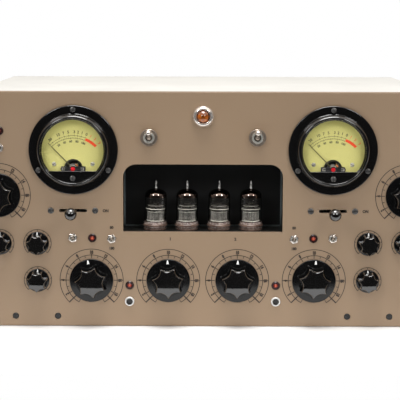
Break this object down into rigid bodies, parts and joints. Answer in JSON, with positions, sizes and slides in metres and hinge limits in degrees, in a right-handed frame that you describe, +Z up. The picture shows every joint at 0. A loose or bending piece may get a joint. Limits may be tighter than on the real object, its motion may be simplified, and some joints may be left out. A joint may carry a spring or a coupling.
{
  "type": "rack compressor",
  "caption": "Five-unit rack compressor: tan panel with a window onto glass valves, two round meters, fluted knobs, lever keys, toggles and lamps.",
  "frame": {"origin": "middle of the panel's width, on the plane of the panel's rear face that lies against the rack, at the level of the underside", "axes": "+X to the right as seen from the front, +Y from the panel towards the back, +Z up"},
  "size_m": [0.4826, 0.3363, 0.2215],
  "materials": {
    "panel_paint": "satin",
    "case_paint": "satin",
    "dark_steel": "satin",
    "bay_paint": "matte",
    "socket_ceramic": "gloss",
    "valve_glass": "clear",
    "mica": "matte",
    "anode_metal": "satin",
    "bakelite": "gloss",
    "meter_glass": "clear",
    "dial_face": "matte",
    "movement_metal": "satin",
    "plated_steel": "satin",
    "red_lens": "gloss",
    "amber_lens": "gloss",
    "chrome": "polished",
    "transformer_steel": "satin",
    "board": "matte",
    "capacitor_sleeve": "gloss",
    "knob_bakelite": "gloss",
    "lever_steel": "polished",
    "button_cap": "gloss",
    "needle_metal": "satin"
  },
  "bodies": {
    "chassis": {"front_panel": "panel_paint", "chassis_base": "case_paint", "side_panel_left": "case_paint", "side_panel_right": "case_paint", "rear_panel": "case_paint", "top_cover": "case_paint", "case_screws": "dark_steel", "fixing_screws": "dark_steel", "valve_bay": "bay_paint", "valve_sockets": "socket_ceramic", "valve_envelopes": "valve_glass", "valve_micas": "mica", "valve_electrodes": "anode_metal", "meter_bezels": "bakelite", "meter_glasses": "meter_glass", "meter_dials": "dial_face", "meter_movements": "movement_metal", "meter_cans": "bakelite", "control_pots": "plated_steel", "switch_bodies": "plated_steel", "switch_nuts": "dark_steel", "lever_switch_frames": "plated_steel", "indicator_bezels": "dark_steel", "indicator_lenses": "red_lens", "jewel_bezel": "chrome", "jewel_lens": "amber_lens", "power_transformer": "transformer_steel", "output_transformers": "transformer_steel", "main_board": "board", "board_capacitors": "capacitor_sleeve", "mains_inlet": "bakelite", "line_sockets": "plated_steel"},
    "volume_knob_left_body": {"volume_knob_left": "knob_bakelite"},
    "volume_knob_right_body": {"volume_knob_right": "knob_bakelite"},
    "gain_knob_left_body": {"gain_knob_left": "knob_bakelite"},
    "gain_knob_right_body": {"gain_knob_right": "knob_bakelite"},
    "outer_knob_left_body": {"outer_knob_left": "knob_bakelite"},
    "outer_knob_right_body": {"outer_knob_right": "knob_bakelite"},
    "upper_small_knob_left_body": {"upper_small_knob_left": "knob_bakelite"},
    "upper_small_knob_right_body": {"upper_small_knob_right": "knob_bakelite"},
    "lower_small_knob_left_body": {"lower_small_knob_left": "knob_bakelite"},
    "lower_small_knob_right_body": {"lower_small_knob_right": "knob_bakelite"},
    "edge_small_knob_left_body": {"edge_small_knob_left": "knob_bakelite"},
    "edge_small_knob_right_body": {"edge_small_knob_right": "knob_bakelite"},
    "lever_key_left_body": {"lever_key_left": "lever_steel"},
    "lever_key_right_body": {"lever_key_right": "lever_steel"},
    "line_toggle_left_body": {"line_toggle_left": "chrome"},
    "power_toggle_right_body": {"power_toggle_right": "chrome"},
    "filter_toggle_left_body": {"filter_toggle_left": "chrome"},
    "filter_toggle_right_body": {"filter_toggle_right": "chrome"},
    "pad_toggle_left_body": {"pad_toggle_left": "chrome"},
    "pad_toggle_right_body": {"pad_toggle_right": "chrome"},
    "edge_toggle_left_body": {"edge_toggle_left": "chrome"},
    "edge_toggle_right_body": {"edge_toggle_right": "chrome"},
    "push_button_left_body": {"push_button_left": "button_cap"},
    "push_button_right_body": {"push_button_right": "button_cap"},
    "meter_needle_left_body": {"meter_needle_left": "needle_metal"},
    "meter_needle_right_body": {"meter_needle_right": "needle_metal"},
    "zero_screw_left_body": {"zero_screw_left": "bakelite"},
    "zero_screw_right_body": {"zero_screw_right": "bakelite"}
  },
  "joints": [
    {"name": "volume_knob_left_turn", "type": "hinge", "parent": "chassis", "child": "volume_knob_left_body", "pos_m": [-0.0324, -0.004, 0.044], "axis": [0, -1, 0], "range_deg": [-137, 133]},
    {"name": "volume_knob_right_turn", "type": "hinge", "parent": "chassis", "child": "volume_knob_right_body", "pos_m": [0.0324, -0.004, 0.044], "axis": [0, -1, 0], "range_deg": [-133.5, 136.5]},
    {"name": "gain_knob_left_turn", "type": "hinge", "parent": "chassis", "child": "gain_knob_left_body", "pos_m": [-0.1045, -0.004, 0.044], "axis": [0, -1, 0], "range_deg": [-145, 125]},
    {"name": "gain_knob_right_turn", "type": "hinge", "parent": "chassis", "child": "gain_knob_right_body", "pos_m": [0.1045, -0.004, 0.044], "axis": [0, -1, 0], "range_deg": [-130, 140]},
    {"name": "outer_knob_left_turn", "type": "hinge", "parent": "chassis", "child": "outer_knob_left_body", "pos_m": [-0.1907, -0.004, 0.1245], "axis": [0, -1, 0], "range_deg": [-249, 21]},
    {"name": "outer_knob_right_turn", "type": "hinge", "parent": "chassis", "child": "outer_knob_right_body", "pos_m": [0.1907, -0.004, 0.1245], "axis": [0, -1, 0], "range_deg": [-85, 185]},
    {"name": "upper_small_knob_left_turn", "type": "hinge", "parent": "chassis", "child": "upper_small_knob_left_body", "pos_m": [-0.155, -0.004, 0.0792], "axis": [0, -1, 0], "range_deg": [-135, 135]},
    {"name": "upper_small_knob_right_turn", "type": "hinge", "parent": "chassis", "child": "upper_small_knob_right_body", "pos_m": [0.155, -0.004, 0.0792], "axis": [0, -1, 0], "range_deg": [-135, 135]},
    {"name": "lower_small_knob_left_turn", "type": "hinge", "parent": "chassis", "child": "lower_small_knob_left_body", "pos_m": [-0.155, -0.004, 0.0439], "axis": [0, -1, 0], "range_deg": [-135, 135]},
    {"name": "lower_small_knob_right_turn", "type": "hinge", "parent": "chassis", "child": "lower_small_knob_right_body", "pos_m": [0.155, -0.004, 0.0439], "axis": [0, -1, 0], "range_deg": [-135, 135]},
    {"name": "edge_small_knob_left_turn", "type": "hinge", "parent": "chassis", "child": "edge_small_knob_left_body", "pos_m": [-0.1899, -0.004, 0.0792], "axis": [0, -1, 0], "range_deg": [-135, 135]},
    {"name": "edge_small_knob_right_turn", "type": "hinge", "parent": "chassis", "child": "edge_small_knob_right_body", "pos_m": [0.1899, -0.004, 0.0792], "axis": [0, -1, 0], "range_deg": [-135, 135]},
    {"name": "lever_key_left_rock", "type": "hinge", "parent": "chassis", "child": "lever_key_left_body", "pos_m": [-0.1214, 0.023, 0.1101], "axis": [0, 0, 1], "range_deg": [-20, 20]},
    {"name": "lever_key_right_rock", "type": "hinge", "parent": "chassis", "child": "lever_key_right_body", "pos_m": [0.1214, 0.023, 0.1101], "axis": [0, 0, 1], "range_deg": [-20, 20]},
    {"name": "line_toggle_left_throw", "type": "hinge", "parent": "chassis", "child": "line_toggle_left_body", "pos_m": [-0.0503, -0.0055, 0.179], "axis": [1, 0, 0], "range_deg": [0, 44]},
    {"name": "power_toggle_right_throw", "type": "hinge", "parent": "chassis", "child": "power_toggle_right_body", "pos_m": [0.0503, -0.0055, 0.179], "axis": [1, 0, 0], "range_deg": [0, 44]},
    {"name": "filter_toggle_left_throw", "type": "hinge", "parent": "chassis", "child": "filter_toggle_left_body", "pos_m": [-0.12175, -0.0052, 0.0846], "axis": [1, 0, 0], "range_deg": [0, 44]},
    {"name": "filter_toggle_right_throw", "type": "hinge", "parent": "chassis", "child": "filter_toggle_right_body", "pos_m": [0.12175, -0.0052, 0.0846], "axis": [1, 0, 0], "range_deg": [0, 44]},
    {"name": "pad_toggle_left_throw", "type": "hinge", "parent": "chassis", "child": "pad_toggle_left_body", "pos_m": [-0.0854, -0.0052, 0.0838], "axis": [1, 0, 0], "range_deg": [0, 44]},
    {"name": "pad_toggle_right_throw", "type": "hinge", "parent": "chassis", "child": "pad_toggle_right_body", "pos_m": [0.0854, -0.0052, 0.0838], "axis": [1, 0, 0], "range_deg": [0, 44]},
    {"name": "edge_toggle_left_throw", "type": "hinge", "parent": "chassis", "child": "edge_toggle_left_body", "pos_m": [-0.1894, -0.0052, 0.1689], "axis": [1, 0, 0], "range_deg": [0, 44]},
    {"name": "edge_toggle_right_throw", "type": "hinge", "parent": "chassis", "child": "edge_toggle_right_body", "pos_m": [0.1894, -0.0052, 0.1689], "axis": [1, 0, 0], "range_deg": [0, 44]},
    {"name": "push_button_left_press", "type": "slide", "parent": "chassis", "child": "push_button_left_body", "axis": [0, 1, 0], "range_m": [0, 0.002], "stiffness_N_per_m": 300, "springref_m": -0.002},
    {"name": "push_button_right_press", "type": "slide", "parent": "chassis", "child": "push_button_right_body", "axis": [0, 1, 0], "range_m": [0, 0.002], "stiffness_N_per_m": 300, "springref_m": -0.002},
    {"name": "meter_needle_left_swing", "type": "hinge", "parent": "chassis", "child": "meter_needle_left_body", "pos_m": [-0.1205, -0.004, 0.15], "axis": [0, -1, 0], "range_deg": [-90, 0], "stiffness_Nm_per_rad": 0.001, "springref_deg": 17.19},
    {"name": "meter_needle_right_swing", "type": "hinge", "parent": "chassis", "child": "meter_needle_right_body", "pos_m": [0.1205, -0.004, 0.15], "axis": [0, -1, 0], "range_deg": [-90, 0], "stiffness_Nm_per_rad": 0.001, "springref_deg": 17.19},
    {"name": "zero_screw_left_turn", "type": "hinge", "parent": "chassis", "child": "zero_screw_left_body", "pos_m": [-0.1205, -0.004, 0.1417], "axis": [0, -1, 0], "continuous": true},
    {"name": "zero_screw_right_turn", "type": "hinge", "parent": "chassis", "child": "zero_screw_right_body", "pos_m": [0.1205, -0.004, 0.1417], "axis": [0, -1, 0], "continuous": true}
  ]
}
